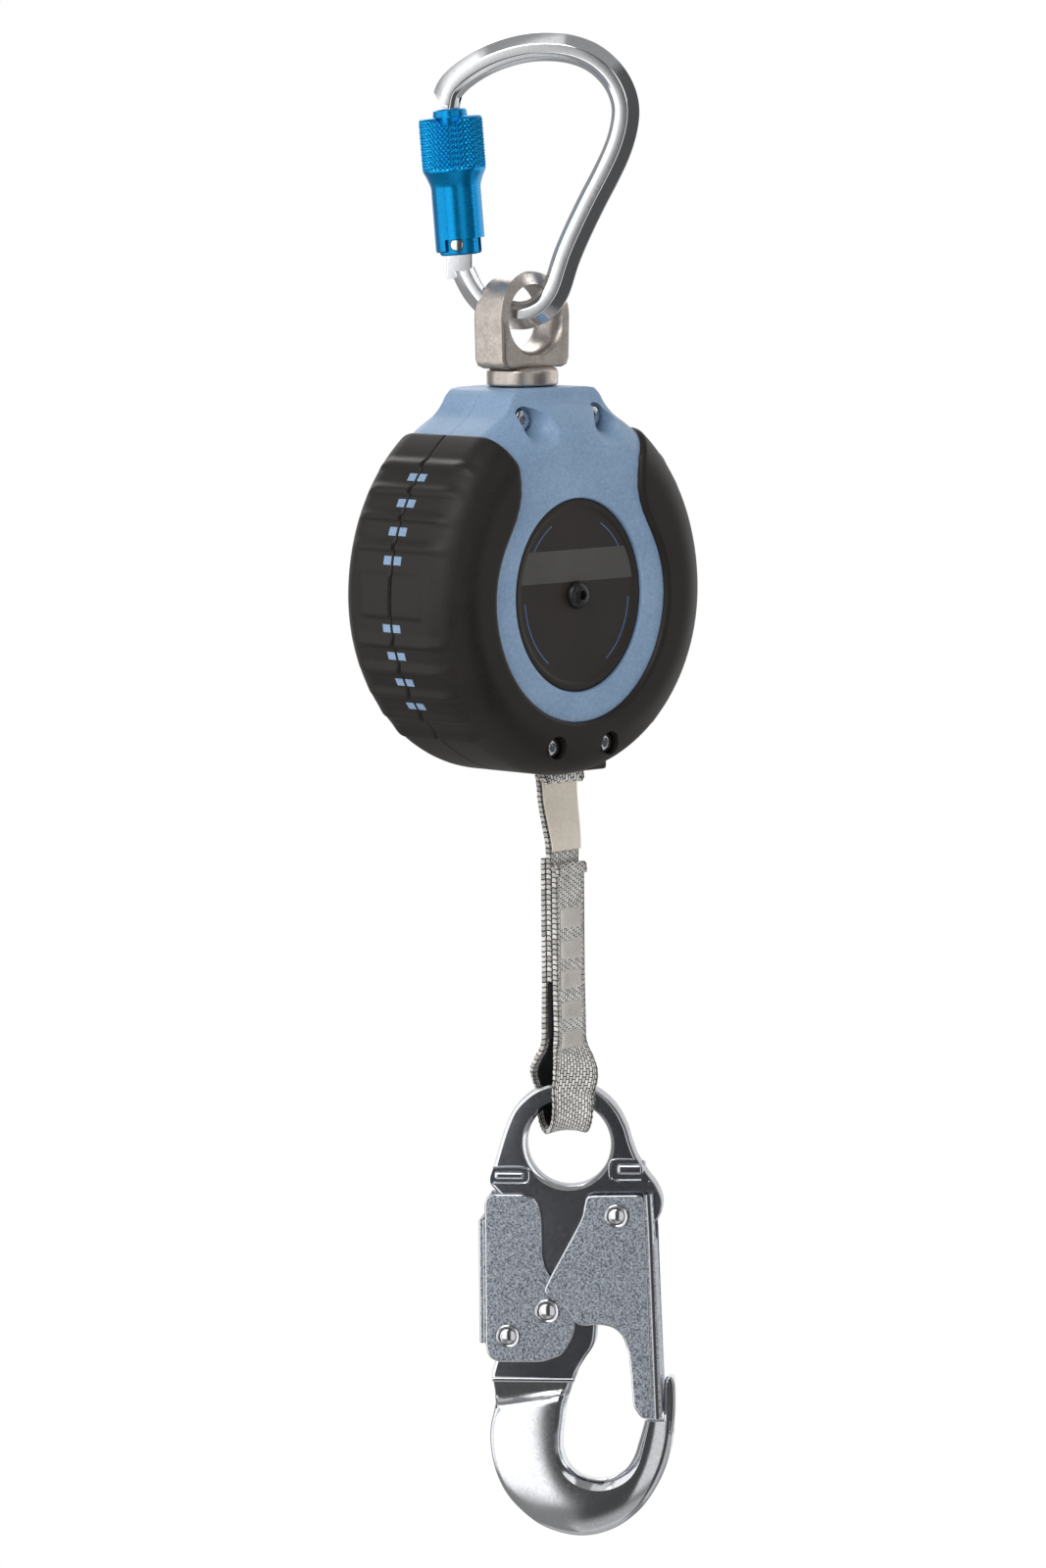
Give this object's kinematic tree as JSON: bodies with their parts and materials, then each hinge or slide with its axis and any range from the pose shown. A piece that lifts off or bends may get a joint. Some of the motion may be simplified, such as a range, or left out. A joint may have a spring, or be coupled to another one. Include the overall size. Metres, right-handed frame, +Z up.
{
  "type": "self retracting lifeline",
  "caption": "Compact retractable web fall arrest device with a twist lock carabiner on top, a swivel eye, a round cased web reel, a sewn web lifeline and a double locking snap hook.",
  "frame": {"origin": "centre of the flat bearing land on the inside of the carabiner's crown, where the device hangs from its anchor", "axes": "+Z up, along the hanging lifeline; -Y is the side the case's front label faces; +X to the right of that label"},
  "size_m": [0.104, 0.0537, 0.4377],
  "materials": {
    "blue_housing": "fine grained satin",
    "black_bumper": "matt",
    "dark_label": "matt blank label",
    "polished_alloy": "polished",
    "blue_anodised": "anodised satin, knurled",
    "cast_steel": "satin cast",
    "plated_steel": "bright zinc plated forging",
    "zinc_sheet": "satin zinc plated sheet",
    "black_hardware": "black oxide",
    "spring_steel": "drawn",
    "bronze": "sintered",
    "friction_lining": "friction facing",
    "black_plastic": "moulded",
    "grey_web": "woven polyester and aramid",
    "cream_tag": "coated card",
    "black_liner": "woven wear liner"
  },
  "bodies": {
    "carabiner": {"carabiner_body": "polished_alloy", "carabiner_gate_rivet": "plated_steel"},
    "carabiner_gate": {"carabiner_gate": "blue_anodised", "gate_plunger": "plated_steel", "gate_plunger_spring": "spring_steel", "sleeve_return_spring": "spring_steel"},
    "sleeve": {"locking_sleeve": "blue_anodised"},
    "swivel": {"swivel_eye": "cast_steel", "swivel_nut": "plated_steel"},
    "case": {"front_shell": "blue_housing", "rear_shell": "blue_housing", "front_bumper": "black_bumper", "rear_bumper": "black_bumper", "front_label": "dark_label", "rear_label": "dark_label", "front_label_screw": "black_hardware", "rear_label_screw": "black_hardware", "top_screw_left": "plated_steel", "top_screw_right": "plated_steel", "bottom_screw_left": "plated_steel", "bottom_screw_right": "plated_steel", "front_frame_plate": "plated_steel", "rear_frame_plate": "plated_steel", "anchor_block": "plated_steel", "thrust_washer": "bronze", "front_bushing": "bronze", "rear_bushing": "bronze", "ratchet_ring": "plated_steel", "brake_lining": "friction_lining", "spring_case": "plated_steel", "power_spring": "spring_steel", "web_guide": "black_plastic"},
    "drum": {"main_shaft": "plated_steel", "web_drum": "polished_alloy", "drum_flange": "polished_alloy", "wound_web": "grey_web", "pawl_carrier": "plated_steel", "pawl_pin_a": "plated_steel", "pawl_pin_b": "plated_steel", "pawl_spring_a": "spring_steel", "pawl_spring_b": "spring_steel"},
    "pawl_a": {"pawl_a": "plated_steel"},
    "pawl_b": {"pawl_b": "plated_steel"},
    "lifeline": {"web_strap": "grey_web", "impact_indicator_tag": "cream_tag", "sewn_loop": "grey_web", "loop_liner": "black_liner", "loop_filler": "black_liner"},
    "hook": {"hook_body": "plated_steel", "hook_gate_rivet": "plated_steel", "lock_lever_rivet": "plated_steel", "hook_gate_spring": "spring_steel", "lock_lever_spring": "spring_steel"},
    "hook_gate": {"hook_gate": "zinc_sheet"},
    "lock_lever": {"lock_lever": "zinc_sheet", "lock_pin": "plated_steel"}
  },
  "joints": [
    {"name": "carabiner_swing", "type": "hinge", "parent": "carabiner", "child": "swivel", "pos_m": [-0.00517, 0.00662, -0.07282], "axis": [0.6157, -0.788, 0], "range_deg": [-24, 24], "stiffness_Nm_per_rad": 0.4},
    {"name": "swivel_spin", "type": "hinge", "parent": "swivel", "child": "case", "pos_m": [-0.0053, 0.00678, -0.09372], "axis": [0, 0, 1], "continuous": true, "stiffness_Nm_per_rad": 0.05},
    {"name": "payout", "type": "slide", "parent": "case", "child": "lifeline", "axis": [0, 0, -1], "range_m": [0, 2], "stiffness_N_per_m": 4, "springref_m": -2.5, "deforming": ["web_strap"]},
    {"name": "drum_spin", "type": "hinge", "parent": "case", "child": "drum", "pos_m": [-0.0053, 0.00678, -0.15222], "axis": [0, 1, 0], "range_deg": [0, 4320]},
    {"name": "pawl_a_swing", "type": "hinge", "parent": "drum", "child": "pawl_a", "pos_m": [-0.0053, 0.00678, -0.13522], "axis": [0, -1, 0], "range_deg": [0, 20], "stiffness_Nm_per_rad": 0.005, "springref_deg": -11.46},
    {"name": "pawl_b_swing", "type": "hinge", "parent": "drum", "child": "pawl_b", "pos_m": [-0.0053, 0.00678, -0.16922], "axis": [0, -1, 0], "range_deg": [0, 20], "stiffness_Nm_per_rad": 0.005, "springref_deg": -11.46},
    {"name": "gate_hinge", "type": "hinge", "parent": "carabiner", "child": "carabiner_gate", "pos_m": [-0.01619, 0.02073, -0.05232], "axis": [0.788, 0.6157, 0], "range_deg": [0, 27], "stiffness_Nm_per_rad": 0.1, "springref_deg": -17.19},
    {"name": "sleeve_twist", "type": "hinge", "parent": "carabiner_gate", "child": "sleeve", "pos_m": [-0.01619, 0.02073, -0.05232], "axis": [-0.044, 0.0563, 0.9974], "range_deg": [0, 90], "stiffness_Nm_per_rad": 0.02, "springref_deg": -22.92},
    {"name": "hook_swing", "type": "hinge", "parent": "lifeline", "child": "hook", "pos_m": [0.00971, 0.00558, -0.30122], "axis": [0.848, -0.5299, 0], "range_deg": [-12, 18], "stiffness_Nm_per_rad": 0.2},
    {"name": "hook_lock", "type": "hinge", "parent": "hook", "child": "lock_lever", "pos_m": [-0.00199, 0.01903, -0.37031], "axis": [0.7547, 0.6561, 0], "range_deg": [0, 12], "stiffness_Nm_per_rad": 0.1, "springref_deg": -17.19},
    {"name": "hook_gate_swing", "type": "hinge", "parent": "hook", "child": "hook_gate", "pos_m": [0.01914, -0.00527, -0.33431], "axis": [0.7547, 0.6561, 0], "range_deg": [0, 22], "stiffness_Nm_per_rad": 0.1, "springref_deg": -17.19}
  ],
  "couplings": [
    {"joint": "drum_spin", "follows": "payout", "rad_per_m": 37.699},
    {"joint": "pawl_b_swing", "follows": "pawl_a_swing", "ratio": 1},
    {"joint": "hook_gate_swing", "follows": "hook_lock", "ratio": 1.8333}
  ]
}
